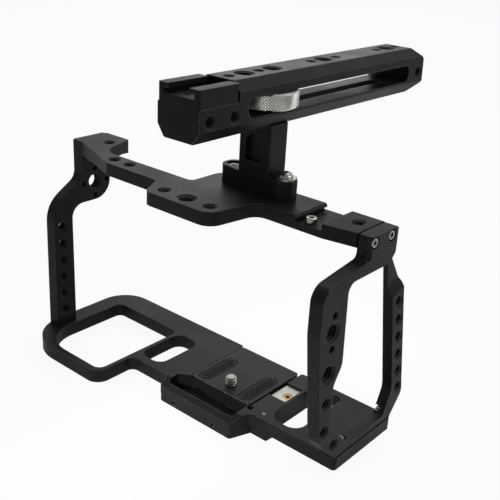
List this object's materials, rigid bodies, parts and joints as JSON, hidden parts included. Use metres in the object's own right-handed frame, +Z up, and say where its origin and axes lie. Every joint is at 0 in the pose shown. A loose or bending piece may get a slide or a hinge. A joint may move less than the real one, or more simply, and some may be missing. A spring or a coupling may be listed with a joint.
{
  "type": "camera cage",
  "caption": "Open metal frame that surrounds a mirrorless camera, with threaded holes along its arms, a quick release plate in the base and a sliding top handle with a cold shoe.",
  "frame": {"origin": "centre of the overall box, on the surface that the cage stands on", "axes": "+X to the right seen from the front, along the base; -Y towards the front, where the lens points; +Z up"},
  "size_m": [0.2074, 0.189, 0.1858],
  "materials": {
    "anodised": "matte black anodised",
    "steel": "satin stainless",
    "bright_steel": "bright",
    "dark_steel": "black oxide",
    "brass": "satin",
    "rubber": "matte, cross hatched"
  },
  "bodies": {
    "cage": {"base_plate": "anodised", "front_set_screws": "dark_steel", "safety_pin": "steel", "left_arm": "anodised", "left_arm_foot_screws": "dark_steel", "left_arm_head_screws": "dark_steel", "side_frame": "anodised", "side_frame_head_screws": "steel", "side_frame_foot_screws": "steel", "top_plate": "anodised", "top_lock_screw": "steel", "handle_post": "anodised", "post_sunk_screw": "steel", "post_button_screw": "steel", "post_washer": "steel", "post_stud": "steel", "wheel_washer": "steel"},
    "handle": {"handle_bar": "anodised", "cold_shoe": "anodised", "cold_shoe_screws": "dark_steel"},
    "wheel": {"thumbwheel": "steel"},
    "quick_plate": {"qr_plate": "anodised", "qr_pad_left": "rubber", "qr_pad_right": "rubber"},
    "camera_stud": {"camera_screw": "steel"},
    "clamp": {"clamp_block": "bright_steel"},
    "clamp_bolt": {"clamp_screw": "brass"}
  },
  "joints": [
    {"name": "handle_slide", "type": "slide", "parent": "cage", "child": "handle", "axis": [0, 1, 0], "range_m": [-0.094, 0.0072]},
    {"name": "wheel_spin", "type": "hinge", "parent": "cage", "child": "wheel", "pos_m": [0.028, -0.0355, 0.1728], "axis": [0, 0, 1], "continuous": true},
    {"name": "qr_slide", "type": "slide", "parent": "cage", "child": "quick_plate", "axis": [0, 1, 0], "range_m": [0, 0.044]},
    {"name": "camera_screw_spin", "type": "hinge", "parent": "quick_plate", "child": "camera_stud", "pos_m": [0.02365, -0.0451, 0.0124], "axis": [0, 0, 1], "continuous": true},
    {"name": "clamp_block_lift", "type": "slide", "parent": "cage", "child": "clamp", "axis": [0, 0, 1], "range_m": [0, 0.0008]},
    {"name": "clamp_screw_turn", "type": "hinge", "parent": "clamp", "child": "clamp_bolt", "pos_m": [0.05265, -0.0309, 0.0084], "axis": [0, 0, 1], "range_deg": [0, 360]}
  ],
  "couplings": [
    {"joint": "clamp_screw_turn", "follows": "clamp_block_lift", "rad_per_m": 7854}
  ]
}
